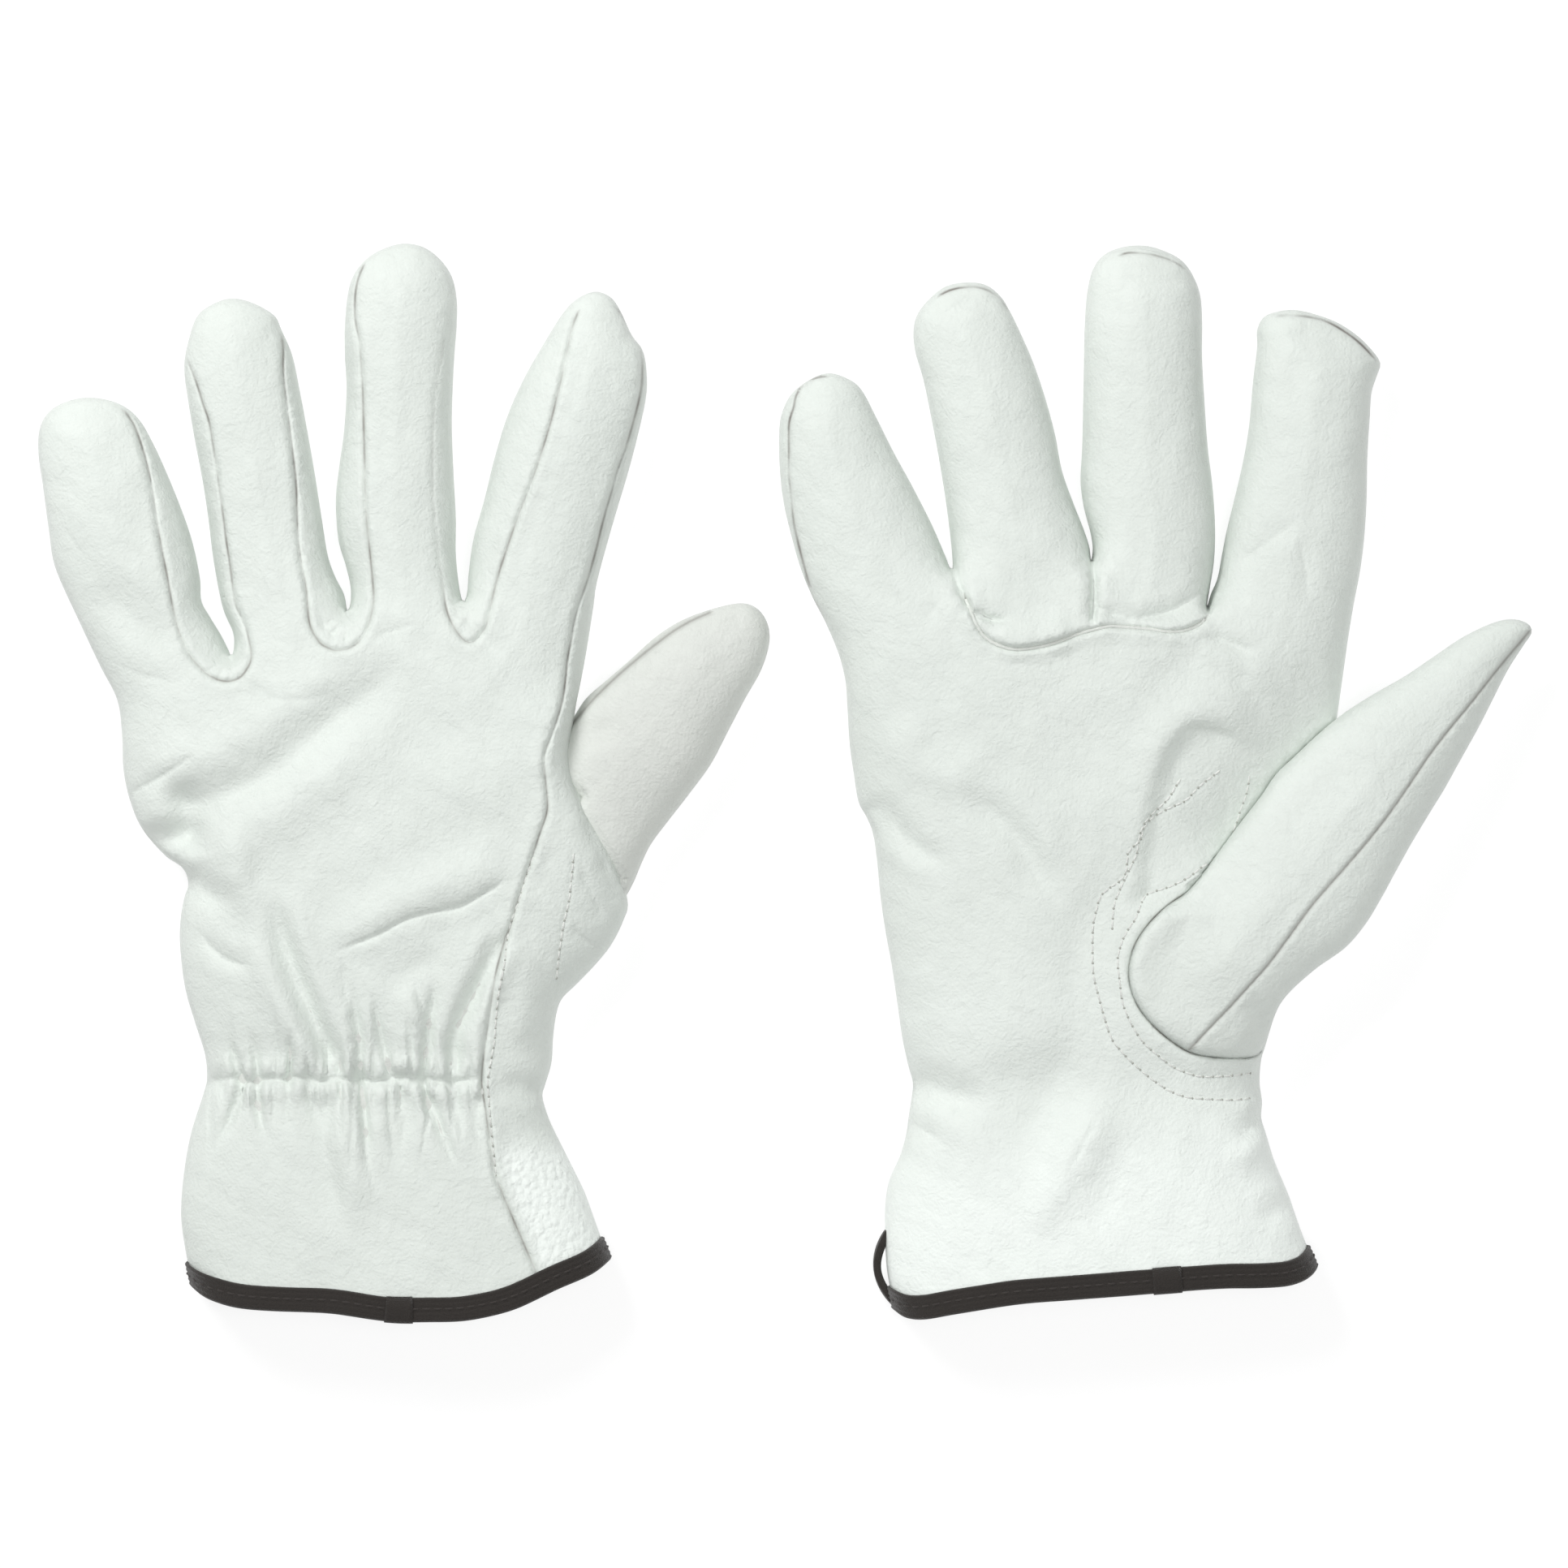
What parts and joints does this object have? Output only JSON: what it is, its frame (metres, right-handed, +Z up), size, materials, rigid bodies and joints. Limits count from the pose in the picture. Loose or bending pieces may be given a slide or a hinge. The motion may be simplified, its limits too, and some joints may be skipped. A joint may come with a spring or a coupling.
{
  "type": "welding gloves",
  "caption": "Pair of pale goatskin work gloves lying flat, left palm down and right palm up, with keystone thumbs, a gathered elastic wrist and a black bound cuff; each stall folds at its base.",
  "frame": {"origin": "bottom centre of the pair, on the surface that it lies on", "axes": "+X across the pair from the left glove to the right glove, +Y from the cuffs to the fingertips, +Z up"},
  "size_m": [0.3484, 0.2496, 0.0285],
  "materials": {
    "goatskin": "smooth grain, satin",
    "hem_tape": "ribbed woven tape, matte",
    "white_thread": "twisted thread",
    "black_thread": "twisted thread",
    "elastic": "woven elastic"
  },
  "bodies": {
    "left_hand": {"left_palm_panel": "goatskin", "left_back_panel": "goatskin", "left_thumb_gusset": "goatskin", "left_wrist_elastic": "elastic", "left_hem_binding": "hem_tape", "left_finger_welt": "goatskin", "left_gusset_thread": "white_thread", "left_hem_thread": "black_thread", "left_elastic_thread": "white_thread"},
    "left_index": {"left_index_front": "goatskin", "left_index_back": "goatskin"},
    "left_middle": {"left_middle_front": "goatskin", "left_middle_back": "goatskin"},
    "left_ring": {"left_ring_front": "goatskin", "left_ring_back": "goatskin"},
    "left_little": {"left_little_front": "goatskin", "left_little_back": "goatskin"},
    "left_thumb": {"left_thumb_front": "goatskin", "left_thumb_back": "goatskin"},
    "right_hand": {"right_palm_panel": "goatskin", "right_back_panel": "goatskin", "right_thumb_gusset": "goatskin", "right_wrist_elastic": "elastic", "right_hem_binding": "hem_tape", "right_finger_welt": "goatskin", "right_gusset_thread": "white_thread", "right_hem_thread": "black_thread", "right_elastic_thread": "white_thread"},
    "right_index": {"right_index_front": "goatskin", "right_index_back": "goatskin"},
    "right_middle": {"right_middle_front": "goatskin", "right_middle_back": "goatskin"},
    "right_ring": {"right_ring_front": "goatskin", "right_ring_back": "goatskin"},
    "right_little": {"right_little_front": "goatskin", "right_little_back": "goatskin"},
    "right_thumb": {"right_thumb_front": "goatskin", "right_thumb_back": "goatskin"}
  },
  "joints": [
    {"name": "right_glove_lift", "type": "slide", "parent": "left_hand", "child": "right_hand", "axis": [0, 0, 1], "range_m": [0, 0.15]},
    {"name": "left_index_fold", "type": "hinge", "parent": "left_hand", "child": "left_index", "pos_m": [-0.05981, 0.03784, 0.0215], "axis": [0.988, 0.1543, 0], "range_deg": [0, 60]},
    {"name": "left_middle_fold", "type": "hinge", "parent": "left_hand", "child": "left_middle", "pos_m": [-0.08771, 0.03354, 0.0215], "axis": [0.9886, 0.1504, 0], "range_deg": [0, 60]},
    {"name": "left_ring_fold", "type": "hinge", "parent": "left_hand", "child": "left_ring", "pos_m": [-0.11561, 0.02929, 0.021], "axis": [0.9886, 0.1507, 0], "range_deg": [0, 60]},
    {"name": "left_little_fold", "type": "hinge", "parent": "left_hand", "child": "left_little", "pos_m": [-0.14476, 0.02484, 0.0205], "axis": [0.9885, 0.151, 0], "range_deg": [0, 60]},
    {"name": "left_thumb_fold", "type": "hinge", "parent": "left_hand", "child": "left_thumb", "pos_m": [-0.04925, -0.019, 0.0195], "axis": [-0.0609, -0.9981, 0], "range_deg": [0, 50]},
    {"name": "right_index_fold", "type": "hinge", "parent": "right_hand", "child": "right_index", "pos_m": [0.11726, 0.04274, 0.0215], "axis": [0.9991, 0.0433, 0], "range_deg": [0, 75]},
    {"name": "right_middle_fold", "type": "hinge", "parent": "right_hand", "child": "right_middle", "pos_m": [0.08651, 0.04139, 0.0215], "axis": [0.9991, 0.0416, 0], "range_deg": [0, 75]},
    {"name": "right_ring_fold", "type": "hinge", "parent": "right_hand", "child": "right_ring", "pos_m": [0.05806, 0.04014, 0.0215], "axis": [0.9991, 0.0433, 0], "range_deg": [0, 75]},
    {"name": "right_little_fold", "type": "hinge", "parent": "right_hand", "child": "right_little", "pos_m": [0.02611, 0.03874, 0.021], "axis": [0.9991, 0.0429, 0], "range_deg": [0, 75]},
    {"name": "right_thumb_fold", "type": "hinge", "parent": "right_hand", "child": "right_thumb", "pos_m": [0.12181, -0.02516, 0.0245], "axis": [-0.2121, -0.9773, 0], "range_deg": [0, 60]}
  ]
}
